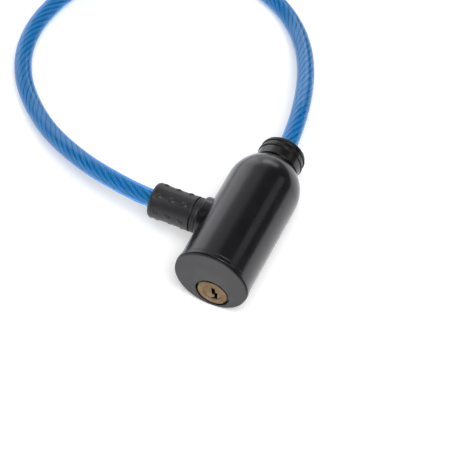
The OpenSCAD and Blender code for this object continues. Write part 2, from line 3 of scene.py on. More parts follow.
import bmesh
import bpy
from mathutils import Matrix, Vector


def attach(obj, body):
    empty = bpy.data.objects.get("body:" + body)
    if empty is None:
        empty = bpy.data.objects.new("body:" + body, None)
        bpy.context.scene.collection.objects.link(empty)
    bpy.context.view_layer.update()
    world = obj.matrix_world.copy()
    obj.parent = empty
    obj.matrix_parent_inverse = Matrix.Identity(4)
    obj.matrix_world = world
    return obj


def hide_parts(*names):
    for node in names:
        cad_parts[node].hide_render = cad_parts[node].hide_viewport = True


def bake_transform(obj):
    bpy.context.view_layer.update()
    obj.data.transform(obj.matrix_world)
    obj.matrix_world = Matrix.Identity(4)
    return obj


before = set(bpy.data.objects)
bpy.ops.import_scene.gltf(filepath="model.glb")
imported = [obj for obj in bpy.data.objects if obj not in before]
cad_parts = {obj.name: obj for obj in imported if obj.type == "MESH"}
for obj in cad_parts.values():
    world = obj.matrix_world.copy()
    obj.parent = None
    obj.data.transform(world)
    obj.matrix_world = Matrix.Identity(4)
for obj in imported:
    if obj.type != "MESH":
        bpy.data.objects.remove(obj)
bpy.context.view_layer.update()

MM = 0.001
AXIS_Z = 16.4      # barrel and plug axis over the floor
FRONT_Y = -38.0    # front face of the barrel
PLUG_Y = -9.0      # axis of the locking pin
KEY_X, KEY_Z = 0.794, 8.842    # key axis

# Centre line of the cable in millimetres: out of the neck, round on the floor and into the grip.
ROUTE = [
    (0, 26, 16.4), (0, 38, 16.4), (-1, 48, 16.2), (-3.5, 62, 15), (-7.5, 76.5, 12.8),
    (-13, 91, 10), (-20, 104.5, 7.2), (-29, 116.5, 5.2), (-40.5, 126.5, 4.2),
    (-54.5, 133.5, 4.1), (-70, 137, 4.1), (-86, 136.5, 4.1), (-101, 131.5, 4.1),
    (-114.5, 122.5, 4.1), (-126, 110.5, 4.1), (-134, 96, 4.1), (-138, 80.5, 4.1),
    (-138.5, 65, 4.1), (-135, 50, 4.1), (-127.5, 36.5, 4.2), (-116.5, 24.5, 5),
    (-103, 13.5, 7.3), (-88.5, 4.8, 10.4), (-73.5, -2, 13.4), (-59, -6.3, 15.4),
    (-48, -8.4, 16.2), (-39.6, -9, 16.4), (-29.6, -9, 16.4),
]
JACKET_R, JACKET_SIDES = 4.0, 56
STRAND_COUNT, STRAND_R, STRAND_SIDES = 6, 0.7, 12
STRAND_LAY_R = 1.4     # centre of a strand from the centre of the rope
ROPE_R = STRAND_LAY_R + STRAND_R
LAY_LENGTH = 28.2      # length of rope in which a strand goes once round
WIRE_COUNT, WIRE_GAP = 6, 1.6     # wires round a strand, and their distance along it


# ---------------------------------------------------------------- camera

CAMERA_AIM = (-6.7, -8.9, 16.4)
CAMERA_AZIMUTH, CAMERA_ELEVATION = 24.8, 52.5     # degrees
CAMERA_DISTANCE = 0.8                             # metres
SENSOR_WIDTH, FOCAL_LENGTH = 36.0, 153.4


def aim_camera():
    target = Vector(CAMERA_AIM) * MM
    azimuth, elevation = math.radians(CAMERA_AZIMUTH), math.radians(CAMERA_ELEVATION)
    back = Vector((math.sin(azimuth) * math.cos(elevation),
                   -math.cos(azimuth) * math.cos(elevation), math.sin(elevation)))
    lens = bpy.data.cameras.new("camera")
    lens.sensor_width = SENSOR_WIDTH
    lens.lens = FOCAL_LENGTH
    lens.clip_start, lens.clip_end = 0.01, 20.0
    camera = bpy.data.objects.new("camera", lens)
    bpy.context.scene.collection.objects.link(camera)
    camera.location = target + back * CAMERA_DISTANCE
    camera.rotation_mode = "QUATERNION"
    camera.rotation_quaternion = (-back).to_track_quat("-Z", "Y")
    bpy.context.scene.camera = camera


# ---------------------------------------------------------------- meshes

def rows_mesh(name, rows, closed, lids=(), sharp=40.0):
    """A mesh of rows of points in millimetres, each row joined to the next."""
    count = len(rows[0])
    faces = []
    for i in range(len(rows) if closed else len(rows) - 1):
        here, there = i * count, ((i + 1) % len(rows)) * count
        for k in range(count):
            n = (k + 1) % count
            faces.append((here + k, here + n, there + n, there + k))
    return new_piece(name, [p for row in rows for p in row], faces + list(lids), sharp)


def new_piece(name, points, faces, sharp=40.0):
    mesh = bpy.data.meshes.new(name)
    mesh.from_pydata([Vector(p) * MM for p in points], [], faces)
    mesh.update()
    work = bmesh.new()
    work.from_mesh(mesh)
    bmesh.ops.remove_doubles(work, verts=work.verts, dist=1e-7)
    bmesh.ops.recalc_face_normals(work, faces=work.faces)
    work.to_mesh(mesh)
    work.free()
    smooth(mesh, sharp)
    piece = bpy.data.objects.new(name, mesh)
    bpy.context.scene.collection.objects.link(piece)
    return piece


def smooth(mesh, sharp):
    mesh.polygons.foreach_set("use_smooth", [True] * len(mesh.polygons))
    mesh.set_sharp_from_angle(angle=math.radians(sharp))


def softened(corners, steps=5):
    """A closed outline of (radius, station, fillet) corners, with each corner rounded."""
    points = []
    for i, (r, s, fillet) in enumerate(corners):
        corner = Vector((r, s))
        if fillet <= 0:
            points.append((r, s))
            continue
        before = (Vector(corners[i - 1][:2]) - corner).normalized()
        after = (Vector(corners[(i + 1) % len(corners)][:2]) - corner).normalized()
        start, end, brace = corner + before * fillet, corner + after * fillet, min(0.08, fillet * 0.4)
        points.append(tuple(start + before * brace))
        for k in range(steps + 1):
            t = k / steps
            points.append(tuple(start * (1 - t) ** 2 + corner * 2 * t * (1 - t) + end * t * t))
        points.append(tuple(end + after * brace))
    return points


def on_barrel(r, a, s):
    return (r * math.sin(a), FRONT_Y + s, AXIS_Z + r * math.cos(a))


def on_key(r, a, s):
    return (KEY_X + r * math.sin(a), FRONT_Y + s, KEY_Z + r * math.cos(a))


def on_plug(r, a, t):
    return (-t, PLUG_Y + r * math.sin(a), AXIS_Z + r * math.cos(a))


def turned(name, outline, place, steps=144, lift=None, sharp=40.0):
    """A ring turned from a closed outline; lift(angle, station, radius) raises its surface."""
    rows = [[place(r + (lift(a, s, r) if lift else 0.0), a, s)
             for a in (2 * math.pi * k / steps for k in range(steps))] for r, s in outline]
    return rows_mesh(name, rows, True, sharp=sharp)


def cut(piece, cutter, sharp=40.0):
    """Takes the cutter's shape out of the piece."""
    change = piece.modifiers.new("cut", "BOOLEAN")
    change.operation, change.solver, change.object = "DIFFERENCE", "EXACT", cutter
    bpy.context.view_layer.update()
    seen = piece.evaluated_get(bpy.context.evaluated_depsgraph_get())
    mesh = bpy.data.meshes.new_from_object(seen)
    piece.modifiers.clear()
    piece.data = mesh
    smooth(mesh, sharp)
    bpy.data.objects.remove(cutter)


def join(piece, other):
    """Adds the other piece's mesh to the piece."""
    work = bmesh.new()
    work.from_mesh(piece.data)
    work.from_mesh(other.data)
    work.to_mesh(piece.data)
    work.free()
    bpy.data.objects.remove(other)


# ---------------------------------------------------------------- finishes

def srgb(code):
    """Linear colour of an sRGB hex value."""
    parts = [int(code[i:i + 2], 16) / 255 for i in (1, 3, 5)]
    return tuple(c / 12.92 if c <= 0.04045 else ((c + 0.055) / 1.055) ** 2.4 for c in parts) + (1.0,)


def per_metre(millimetres):
    """Noise scale for marks about that wide."""
    return 1.0 / (millimetres * MM)


# Sockets of a mix node: its factor, its two numbers, its two colours, and the mixed colour.
FACTOR, LEVEL_A, LEVEL_B, COLOUR_A, COLOUR_B = 0, 2, 3, 6, 7
MIXED_COLOUR = 2


def add(tree, kind, inputs=None, **settings):
    """Adds a node and gives its main output; each input is a value, or another node's output to link."""
    node = tree.nodes.new(kind)
    for key, value in settings.items():
        setattr(node, key, value)
    for key, value in (inputs or {}).items():
        if isinstance(value, bpy.types.NodeSocket):
            tree.links.new(value, node.inputs[key])
        else:
            node.inputs[key].default_value = value
    if not len(node.outputs):
        return None
    mixes_colour = node.bl_idname == "ShaderNodeMix" and node.data_type == "RGBA"
    return node.outputs[MIXED_COLOUR if mixes_colour else 0]


def finish(name, varied, **fixed):
    """A material: varied(tree, where) gives the inputs that change over the surface."""
    material = bpy.data.materials.new(name)
    material.use_nodes = True
    tree = material.node_tree
    tree.nodes.clear()
    place = add(tree, "ShaderNodeTexCoord").node.outputs["Object"]
    inputs = {key.replace("_", " "): value for key, value in fixed.items()}
    inputs.update(varied(tree, place))
    shader = add(tree, "ShaderNodeBsdfPrincipled", inputs)
    add(tree, "ShaderNodeOutputMaterial", {"Surface": shader})
    return material


def baked_lacquer(tree, where):
    # Steel tube under baked black lacquer: deep black, with soft reflections that waver on its faint
    # orange peel of about 1.5 mm, and a few specks of dust that dull the gloss.
    peel = add(tree, "ShaderNodeTexNoise", {"Vector": where, "Scale": per_metre(1.5), "Detail": 1.0})
    dust = add(tree, "ShaderNodeTexNoise", {"Vector": where, "Scale": per_metre(0.3), "Detail": 3.0})
    cloud = add(tree, "ShaderNodeTexNoise", {"Vector": where, "Scale": per_metre(9.0), "Detail": 2.0})
    speck = add(tree, "ShaderNodeMapRange", {"Value": dust, "From Min": 0.66, "From Max": 0.74})
    return {
        "Base Color": add(tree, "ShaderNodeMix",
                          {FACTOR: speck, COLOUR_A: srgb("#0B0A0D"), COLOUR_B: srgb("#2A292C")},
                          data_type="RGBA"),
        "Roughness": add(tree, "ShaderNodeMapRange", {"Value": cloud, "From Min": 0.3, "From Max": 0.7,
                                                      "To Min": 0.21, "To Max": 0.29}),
        "Normal": add(tree, "ShaderNodeBump", {"Height": peel, "Distance": 0.004 * MM, "Strength": 0.6}),
    }


def moulded_abs(tree, where):
    # Black ABS from a polished mould: glossy, with faint flow marks round the rings.
    flow = add(tree, "ShaderNodeTexNoise", {"Vector": where, "Scale": per_metre(2.5), "Detail": 2.0})
    rub = add(tree, "ShaderNodeTexNoise", {"Vector": where, "Scale": per_metre(0.5), "Detail": 3.0})
    return {
        "Base Color": add(tree, "ShaderNodeMix",
                          {FACTOR: flow, COLOUR_A: srgb("#0A0A0B"), COLOUR_B: srgb("#141316")},
                          data_type="RGBA"),
        "Roughness": add(tree, "ShaderNodeMapRange", {"Value": rub, "From Min": 0.3, "From Max": 0.7,
                                                      "To Min": 0.16, "To Max": 0.3}),
        "Normal": add(tree, "ShaderNodeBump", {"Height": flow, "Distance": 0.02 * MM, "Strength": 0.6}),
    }


def powder_coat(tree, where):
    # Grey powder coat on the face disc: even and matte, with a grit of 0.25 mm. It stops at the rim and
    # at the key hole, whose edges stay black.
    grit = add(tree, "ShaderNodeTexNoise", {"Vector": where, "Scale": per_metre(0.25), "Detail": 3.0})
    cloud = add(tree, "ShaderNodeTexNoise", {"Vector": where, "Scale": per_metre(5.0), "Detail": 2.0})
    back = add(tree, "ShaderNodeSeparateXYZ", {0: where}).node.outputs[1]
    side = add(tree, "ShaderNodeMapRange", {"Value": back, "From Min": (FRONT_Y + 0.12) * MM,
                                            "From Max": (FRONT_Y + 0.3) * MM})
    grey = add(tree, "ShaderNodeMix",
               {FACTOR: cloud, COLOUR_A: srgb("#363638"), COLOUR_B: srgb("#404043")},
               data_type="RGBA")
    fleck = add(tree, "ShaderNodeMapRange", {"Value": grit, "From Min": 0.64, "From Max": 0.74})
    flecked = add(tree, "ShaderNodeMix",
                  {FACTOR: fleck, COLOUR_A: grey, COLOUR_B: srgb("#75767A")},
                  data_type="RGBA")
    return {
        "Base Color": add(tree, "ShaderNodeMix",
                          {FACTOR: side, COLOUR_A: flecked, COLOUR_B: srgb("#0C0B0B")},
                          data_type="RGBA"),
        "Roughness": add(tree, "ShaderNodeMapRange", {"Value": grit, "From Min": 0.3, "From Max": 0.7,
                                                      "To Min": 0.45, "To Max": 0.62}),
        "Normal": add(tree, "ShaderNodeBump", {"Height": grit, "Distance": 0.02 * MM, "Strength": 0.8}),
    }


def moulded_grip(tree, where):
    # Dark grey polypropylene from a spark-eroded mould: satin, with a grain of 0.3 mm.
    erode = add(tree, "ShaderNodeTexNoise", {"Vector": where, "Scale": per_metre(0.3), "Detail": 3.0})
    cloud = add(tree, "ShaderNodeTexNoise", {"Vector": where, "Scale": per_metre(4.0), "Detail": 2.0})
    return {
        "Base Color": add(tree, "ShaderNodeMix",
                          {FACTOR: cloud, COLOUR_A: srgb("#1C1C1E"), COLOUR_B: srgb("#27272A")},
                          data_type="RGBA"),
        "Roughness": add(tree, "ShaderNodeMapRange", {"Value": erode, "From Min": 0.3, "From Max": 0.7,
                                                      "To Min": 0.34, "To Max": 0.46}),
        "Normal": add(tree, "ShaderNodeBump", {"Height": erode, "Distance": 0.012 * MM, "Strength": 0.7}),
    }


def nitrile(tree, where):
    # Nitrile rubber ring: dull black with a trace of bloom from the mould.
    bloom = add(tree, "ShaderNodeTexNoise", {"Vector": where, "Scale": per_metre(0.8), "Detail": 4.0})
    return {
        "Base Color": add(tree, "ShaderNodeMix",
                          {FACTOR: bloom, COLOUR_A: srgb("#080808"), COLOUR_B: srgb("#141414")},
                          data_type="RGBA"),
        "Roughness": add(tree, "ShaderNodeMapRange", {"Value": bloom, "To Min": 0.6, "To Max": 0.85}),
        "Normal": add(tree, "ShaderNodeBump", {"Height": bloom, "Distance": 0.01 * MM, "Strength": 0.5}),
    }


def faced_brass(tree, where):
    # Brass faced on a lathe: satin, with fine rings 0.35 mm apart round the key axis, coarser than a
    # real tool leaves them so that they show, and brown tarnish in patches.
    centred = add(tree, "ShaderNodeVectorMath", {0: where, 1: (-KEY_X * MM, 0, -KEY_Z * MM)}, operation="ADD")
    across = add(tree, "ShaderNodeVectorMath", {0: centred, 1: (1, 0, 1)}, operation="MULTIPLY")
    ring_gap = 0.35 * MM
    turns = add(tree, "ShaderNodeTexWave",
                {"Vector": across, "Scale": math.pi / (10 * ring_gap), "Distortion": 0.0},
                wave_type="RINGS", rings_direction="SPHERICAL")
    patch = add(tree, "ShaderNodeTexNoise", {"Vector": where, "Scale": per_metre(3.0), "Detail": 3.0})
    rub = add(tree, "ShaderNodeTexNoise", {"Vector": where, "Scale": per_metre(0.2), "Detail": 2.0})
    tarnish = add(tree, "ShaderNodeMapRange", {"Value": patch, "From Min": 0.35, "From Max": 0.75})
    ridge = add(tree, "ShaderNodeBump", {"Height": turns, "Distance": 0.003 * MM, "Strength": 0.5})
    return {
        "Base Color": add(tree, "ShaderNodeMix",
                          {FACTOR: tarnish, COLOUR_A: srgb("#847158"), COLOUR_B: srgb("#6E5032")},
                          data_type="RGBA"),
        "Roughness": add(tree, "ShaderNodeMapRange", {"Value": rub, "From Min": 0.3, "From Max": 0.7,
                                                      "To Min": 0.26, "To Max": 0.4}),
        "Normal": add(tree, "ShaderNodeBump", {"Height": rub, "Distance": 0.004 * MM, "Strength": 0.4,
                                               "Normal": ridge}),
    }


def ground_steel(tree, where):
    # Ground and polished steel pin: bright, with the grinding marks running round it.
    slow = add(tree, "ShaderNodeVectorMath", {0: where, 1: (12.0, 1.0, 1.0)}, operation="MULTIPLY")
    marks = add(tree, "ShaderNodeTexNoise", {"Vector": slow, "Scale": per_metre(1.5), "Detail": 3.0})
    return {
        "Base Color": add(tree, "ShaderNodeMix",
                          {FACTOR: marks, COLOUR_A: srgb("#B4B6B9"), COLOUR_B: srgb("#D0D2D4")},
                          data_type="RGBA"),
        "Roughness": add(tree, "ShaderNodeMapRange", {"Value": marks, "From Min": 0.3, "From Max": 0.7,
                                                      "To Min": 0.16, "To Max": 0.28}),
        "Normal": add(tree, "ShaderNodeBump", {"Height": marks, "Distance": 0.004 * MM, "Strength": 0.5}),
    }


def machined_steel(tree, where):
    # Plain machined steel of the inner parts: grey, with a fine brushed grain of 0.2 mm.
    brushed = add(tree, "ShaderNodeTexNoise", {"Vector": where, "Scale": per_metre(0.2), "Detail": 3.0})
    cloud = add(tree, "ShaderNodeTexNoise", {"Vector": where, "Scale": per_metre(3.0), "Detail": 2.0})
    return {
        "Base Color": add(tree, "ShaderNodeMix",
                          {FACTOR: cloud, COLOUR_A: srgb("#A9ABAE"), COLOUR_B: srgb("#C4C6C8")},
                          data_type="RGBA"),
        "Roughness": add(tree, "ShaderNodeMapRange", {"Value": brushed, "From Min": 0.3, "From Max": 0.7,
                                                      "To Min": 0.28, "To Max": 0.42}),
        "Normal": add(tree, "ShaderNodeBump", {"Height": brushed, "Distance": 0.005 * MM, "Strength": 0.5}),
    }


def cast_zinc(tree, where):
    # Die-cast zinc core: dull blue-grey, with the pitted skin that the mould leaves.
    pits = add(tree, "ShaderNodeTexNoise", {"Vector": where, "Scale": per_metre(0.6), "Detail": 4.0})
    return {
        "Base Color": add(tree, "ShaderNodeMix",
                          {FACTOR: pits, COLOUR_A: srgb("#84878C"), COLOUR_B: srgb("#A6A9AD")},
                          data_type="RGBA"),
        "Roughness": add(tree, "ShaderNodeMapRange", {"Value": pits, "From Min": 0.3, "From Max": 0.7,
                                                      "To Min": 0.4, "To Max": 0.6}),
        "Normal": add(tree, "ShaderNodeBump", {"Height": pits, "Distance": 0.02 * MM, "Strength": 0.7}),
    }


def galvanised_wire(tree, where):
    # Galvanised strands: bright zinc, each strand laid up from fine wires that run round it, 1.6 mm
    # apart along the strand. Painted shade darkens the grooves between the strands and the gaps between the wires;
    # the crests are painted near white as a painted highlight.
    turn = add(tree, "ShaderNodeSeparateXYZ", {0: add(tree, "ShaderNodeUVMap", uv_map="strand")})
    outward = add(tree, "ShaderNodeSeparateXYZ", {0: add(tree, "ShaderNodeUVMap", uv_map="outward")})
    around = add(tree, "ShaderNodeMath", {0: turn, 1: WIRE_COUNT * 2 * math.pi}, operation="MULTIPLY")
    along = add(tree, "ShaderNodeMath", {0: turn.node.outputs[1], 1: 2 * math.pi / (WIRE_GAP * MM)},
                operation="MULTIPLY")
    phase = add(tree, "ShaderNodeMath", {0: around, 1: along}, operation="ADD")
    wires = add(tree, "ShaderNodeMath", {0: phase}, operation="SINE")
    # ridge is low in the grooves between the strands and high on their crests; it places the painted shade and the
    # painted highlight.
    ridge = add(tree, "ShaderNodeMapRange", {"Value": outward, "From Min": 0.66, "From Max": 0.96},
                interpolation_type="SMOOTHSTEP")
    # shade paints darker bands in the gaps between the fine wires, as painted shade.
    shade = add(tree, "ShaderNodeMapRange", {"Value": wires, "From Min": -1.0, "To Min": 0.65})
    painted_light_and_shade = add(tree, "ShaderNodeMath", {0: ridge, 1: shade}, operation="MULTIPLY")
    return {
        # Painted shade: #0E141C in the grooves between strands and wires; painted highlight: near white #FCFDFE on
        # the crests.
        "Base Color": add(tree, "ShaderNodeMix",
                          {FACTOR: painted_light_and_shade, COLOUR_A: srgb("#0E141C"), COLOUR_B: srgb("#FCFDFE")},
                          data_type="RGBA"),
        "Normal": add(tree, "ShaderNodeBump", {"Height": wires, "Distance": 0.1 * MM, "Strength": 1.0}),
    }


def tinted_pvc(tree, where):
    # Soft PVC, tinted blue and extruded over the wire: glossy and slightly milky, so that it glows blue
    # and still shows the strands.
    skin = add(tree, "ShaderNodeTexNoise", {"Vector": where, "Scale": per_metre(2.2), "Detail": 2.0})
    haze = add(tree, "ShaderNodeTexNoise", {"Vector": where, "Scale": per_metre(9.0), "Detail": 2.0})
    return {
        "Base Color": add(tree, "ShaderNodeMix",
                          {FACTOR: haze, COLOUR_A: srgb("#24A2FF"), COLOUR_B: srgb("#3AB0FF")},
                          data_type="RGBA"),
        "Roughness": add(tree, "ShaderNodeMapRange", {"Value": skin, "To Min": 0.04, "To Max": 0.1}),
        "Normal": add(tree, "ShaderNodeBump", {"Height": skin, "Distance": 0.01 * MM, "Strength": 0.4}),
    }


# ---------------------------------------------------------------- cable

def route_at(u):
    """Point on the smooth curve through the route; u counts route points."""
    i = min(len(ROUTE) - 2, int(u))
    t = u - i
    a, b, c, d = (Vector(ROUTE[max(0, min(len(ROUTE) - 1, i + k))]) for k in (-1, 0, 1, 2))
    return 0.5 * (2 * b + (c - a) * t + (2 * a - 5 * b + 4 * c - d) * t * t
                  + (3 * b - a - 3 * c + d) * t ** 3)


def even_route(step, first, last):
    """Points along the route, about step millimetres apart, and the length up to each."""
    count = 4000
    fine = [route_at(first + (last - first) * k / count) for k in range(count + 1)]
    total = sum((b - a).length for a, b in zip(fine, fine[1:]))
    gap = total / round(total / step)
    points, lengths, run = [fine[0]], [0.0], 0.0
    for a, b in zip(fine, fine[1:]):
        stretch = (b - a).length
        if run + stretch >= lengths[-1] + gap - 1e-6 and lengths[-1] + 1.5 * gap < total:
            points.append(a.lerp(b, (lengths[-1] + gap - run) / stretch))
            lengths.append(lengths[-1] + gap)
        run += stretch
    return points + [fine[-1]], lengths + [total]


def directions(points):
    """Side and up at each point of a line."""
    made = []
    for i in range(len(points)):
        along = (points[min(i + 1, len(points) - 1)] - points[max(i - 1, 0)]).normalized()
        side = along.cross(Vector((0, 0, 1))).normalized()
        made.append((side, side.cross(along)))
    return made


def tube_rows(points, radius, sides):
    turns = [2 * math.pi * k / sides for k in range(sides)]
    return [[p + radius * (math.cos(a) * side + math.sin(a) * up) for a in turns]
            for p, (side, up) in zip(points, directions(points))]


def make_jacket(material):
    points, _ = even_route(1.2, 0.5, len(ROUTE) - 1.45)
    rows = tube_rows(points, JACKET_R, JACKET_SIDES)
    end = (len(rows) - 1) * JACKET_SIDES
    jacket = rows_mesh("cable_jacket_tube", rows, False,
                       [tuple(reversed(range(JACKET_SIDES))), tuple(range(end, end + JACKET_SIDES))])
    jacket.data.materials.append(material)
    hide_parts("cable_jacket")
    return jacket, points


def make_strands(material):
    """Six strands laid round a seventh, in one mesh: one map holds the turn and the length on each
    strand, the other how far out in the rope a point lies."""
    points, lengths = even_route(0.9, 0.25, len(ROUTE) - 1.3)
    frames = directions(points)
    lines = [points]
    for k in range(STRAND_COUNT):
        turns = [2 * math.pi * (k / STRAND_COUNT - length / LAY_LENGTH) for length in lengths]
        lines.append([p + STRAND_LAY_R * (math.cos(a) * side + math.sin(a) * up)
                      for p, a, (side, up) in zip(points, turns, frames)])
    sides, verts, faces, maps, reach = STRAND_SIDES, [], [], [], []
    for line in lines:
        base, rows = len(verts), tube_rows(line, STRAND_R, sides)
        for row, centre, (side, up) in zip(rows, points, frames):
            verts += row
            reach += [math.hypot((p - centre).dot(side), (p - centre).dot(up)) / ROPE_R for p in row]
        for i in range(len(rows) - 1):
            for k in range(sides):
                n = (k + 1) % sides
                faces.append((base + i * sides + k, base + i * sides + n,
                              base + (i + 1) * sides + n, base + (i + 1) * sides + k))
                v0, v1 = lengths[i] * MM, lengths[i + 1] * MM
                maps += [(k / sides, v0), ((k + 1) / sides, v0), ((k + 1) / sides, v1), (k / sides, v1)]
        last = base + (len(rows) - 1) * sides
        faces += [tuple(base + i for i in reversed(range(sides))), tuple(last + i for i in range(sides))]
        maps += [(0.0, 0.0)] * (2 * sides)
    mesh = bpy.data.meshes.new("cable_wire_strands")
    mesh.from_pydata([Vector(p) * MM for p in verts], [], faces)
    strand = mesh.uv_layers.new(name="strand").name
    outward = mesh.uv_layers.new(name="outward").name
    for loop, value in zip(mesh.uv_layers[strand].data, maps):
        loop.uv = value
    for loop, corner in zip(mesh.uv_layers[outward].data, mesh.loops):
        loop.uv = (reach[corner.vertex_index], 0.0)
    smooth(mesh, 60.0)
    strands = bpy.data.objects.new("cable_wire_strands", mesh)
    bpy.context.scene.collection.objects.link(strands)
    mesh.materials.append(material)
    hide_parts("cable_rope")
    return strands


# ---------------------------------------------------------------- barrel

SHELL_R, SHELL_WALL = 16.0, 1.7
DOME_R, DOME_END_S, DOME_END_R = 18.0, 65.75, 9.3
CAP_R, KEY_HOLE_R = 16.1, 7.55
BOSS_FACE, BOSS_R = 17.2, 9.2


def dressed(piece, material, node, body):
    """Gives a piece its finish, its body and the node that it stands for."""
    piece.data.materials.clear()
    piece.data.materials.append(material)
    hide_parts(node)
    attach(piece, body)
    return piece


def make_shell(material):
    centre, inner_r = SHELL_R - DOME_R, DOME_R - SHELL_WALL
    end = math.acos((DOME_END_R - centre) / DOME_R)
    start_s = DOME_END_S - DOME_R * math.sin(end)
    inner_end = math.acos((DOME_END_R - 1.4 - centre) / inner_r)
    outline = softened([(14.3, 3.1, 0), (15.6, 3.1, 0), (15.6, 3.35, 0), (16.0, 3.35, 0.22), (16.0, 5, 0)])[:-1]
    outline += [(SHELL_R, s) for s in (3.9, 8.0, 20.0, 32.0, 44.0, 50.0)]
    outline += [(centre + DOME_R * math.cos(a), start_s + DOME_R * math.sin(a))
                for a in (end * k / 40 for k in range(41))]
    outline += [(DOME_END_R - 1.4, DOME_END_S)]
    outline += [(centre + inner_r * math.cos(a), start_s + inner_r * math.sin(a))
                for a in (inner_end * (1 - k / 24) for k in range(25))]
    shell = turned("shell_tube", outline, on_barrel, 192)
    cut(shell, turned("hole", [(0.01, 8), (5.9, 8), (5.9, 24), (0.01, 24)], on_plug, 96))
    dressed(shell, material, "barrel_shell", "lock")


def make_band(material):
    outline = softened([(14.3, 1.0, 0), (15.5, 1.0, 0), (15.5, 1.25, 0), (16.4, 1.25, 0.28),
                        (16.4, 3.1, 0.28), (14.3, 3.1, 0)])
    dressed(turned("front_ring", outline, on_barrel, 192), material, "front_band", "lock")


def make_face(material):
    outline = [(0.005, 0.0), (9.0, 0.0), (13.5, 0.0)]
    outline += softened([(13.0, 0.0, 0), (CAP_R, 0.0, 0.42), (CAP_R, 1.0, 0.05), (14.2, 1.0, 0), (14.2, 2.4, 0),
                         (13.0, 2.4, 0), (13.0, 1.0, 0), (0.005, 1.0, 0)])[1:]
    face = turned("face_disc", outline, on_barrel, 192, sharp=50)
    hole = [(0.01, -2), (KEY_HOLE_R + 0.2, -2), (KEY_HOLE_R + 0.2, -0.001), (KEY_HOLE_R + 0.17, 0.0),
            (KEY_HOLE_R + 0.05, 0.08), (KEY_HOLE_R, 0.25), (KEY_HOLE_R, 4.0), (0.01, 4.0)]
    cut(face, turned("hole", hole, on_key, 120), 50)
    dressed(face, material, "face_cap", "lock")


def make_neck(material):
    base = DOME_END_R - 0.1
    outline = softened([
        (4.2, 60.8, 0), (7.85, 60.8, 0), (7.85, 65.75, 0), (base, 65.75, 0.1), (base, 66.1, 0.05),
        (base + 0.7, 66.1, 0.2), (base + 0.7, 70.4, 0.06), (base + 1.12, 70.4, 0.16), (base + 1.12, 71.0, 0.16),
        (base + 0.3, 71.0, 0.05), (base + 0.3, 71.6, 0.05), (base + 0.55, 71.6, 0.1), (base + 0.55, 73.4, 0.05),
        (base + 0.95, 73.4, 0.16), (base + 0.95, 74.0, 0.16), (base + 0.15, 74.0, 0.05), (base + 0.15, 74.5, 0.05),
        (base + 0.5, 74.5, 0.12), (base + 0.45, 75.2, 0.25), (base - 0.2, 75.85, 0.3), (base - 0.9, 76.0, 0.2),
        (4.8, 76.0, 0.25), (4.2, 75.4, 0.2)])
    dressed(turned("neck_rings", outline, on_barrel, 160), material, "neck_collar", "lock")


def make_boss(material):
    """Socket on the barrel's side: a flange that fits the shell, and a spigot that goes in to the core."""
    boss = turned("socket_rim", softened([
        (5.7, 11.0, 0), (BOSS_R, 11.0, 0), (BOSS_R - 0.02, BOSS_FACE, 0.7), (5.7, BOSS_FACE, 0)]), on_plug, 160)
    barrel = turned("barrel", [(0.01, -1), (SHELL_R + 0.03, -1), (SHELL_R + 0.03, 60), (0.01, 60)], on_barrel, 192)
    cut(boss, barrel)
    join(boss, turned("spigot", softened([(4.08, 12.2, 0), (5.8, 12.2, 0), (5.8, BOSS_FACE, 0),
                                          (4.4, BOSS_FACE, 0.1), (4.08, BOSS_FACE - 0.3, 0.1)]), on_plug, 120))
    smooth(boss.data, 40)
    dressed(boss, material, "socket_boss", "lock")


# ---------------------------------------------------------------- key pins

PIN_COUNT, PIN_R, PIN_PITCH, PIN_SIDES = 5, 1.15, 3.3, 48
FIRST_PIN_S = 5.5
SPINE_LEAN = math.radians(6.0)


def make_key_pins(material):
    """Pins in the turning plug; their domed tops stay inside its radius as it turns in the housing."""
    turns = [2 * math.pi * k / PIN_SIDES for k in range(PIN_SIDES)]
    lean_x, lean_z = math.sin(SPINE_LEAN), math.cos(SPINE_LEAN)
    pins = []
    for i in range(PIN_COUNT):
        foot, station = -0.4 + 0.4 * (i % 3), FIRST_PIN_S + PIN_PITCH * i
        outline = [(0, foot), (0.4, foot), (PIN_R, foot + 0.8),
                   (PIN_R, 3.78), (0.95, 3.86), (0.55, 3.92), (0, 3.95)]
        rows = [[(KEY_X + r * math.sin(a) * lean_z - h * lean_x,
                  FRONT_Y + station + r * math.cos(a),
                  KEY_Z + r * math.sin(a) * lean_x + h * lean_z) for a in turns] for r, h in outline]
        pins.append(rows_mesh("key_pin_set", rows, False))
    for other in pins[1:]:
        join(pins[0], other)
    smooth(pins[0].data, 40)
    dressed(pins[0], material, "key_pins", "key")


# ---------------------------------------------------------------- plug

GRIP_FACE, GRIP_END, GRIP_R, GRIP_WAIST = 20.5, 39.6, 7.8, 0.3
DOT_ROWS, DOT_R, DOT_H, DOT_PITCH = 6, 1.3, 0.4, 5.7
DOT_TURN = -20     # degrees to the first row of dots
SEAM_TURN, SEAM_DEPTH, SEAM_HALF = math.radians(6.5), 0.12, 0.16


def grip_radius(t):
    return GRIP_R - GRIP_WAIST * (1 - (2 * (t - GRIP_FACE) / (GRIP_END - GRIP_FACE - 1.3) - 1) ** 2)


def grip_relief(a, t, r):
    """Raised dots, six rows of three, and the two parting lines of the mould."""
    if r < 7.0 or not GRIP_FACE + 0.4 < t < GRIP_END - 1.2:
        return 0.0
    for row in range(DOT_ROWS):
        turn = math.radians(360 / DOT_ROWS * row + DOT_TURN)
        across = (a - turn + math.pi) % (2 * math.pi) - math.pi
        for k in (-1, 0, 1):
            d = math.hypot(across * r, t - (GRIP_FACE + GRIP_END) / 2 - DOT_PITCH * k) / DOT_R
            if d < 1:
                return DOT_H * (1 - d ** 4) ** 0.9
    seam = min(abs((a - SEAM_TURN + k * math.pi + math.pi) % (2 * math.pi) - math.pi) for k in (0, 1)) * r
    return -SEAM_DEPTH * max(0.0, 1 - (seam / SEAM_HALF) ** 2)


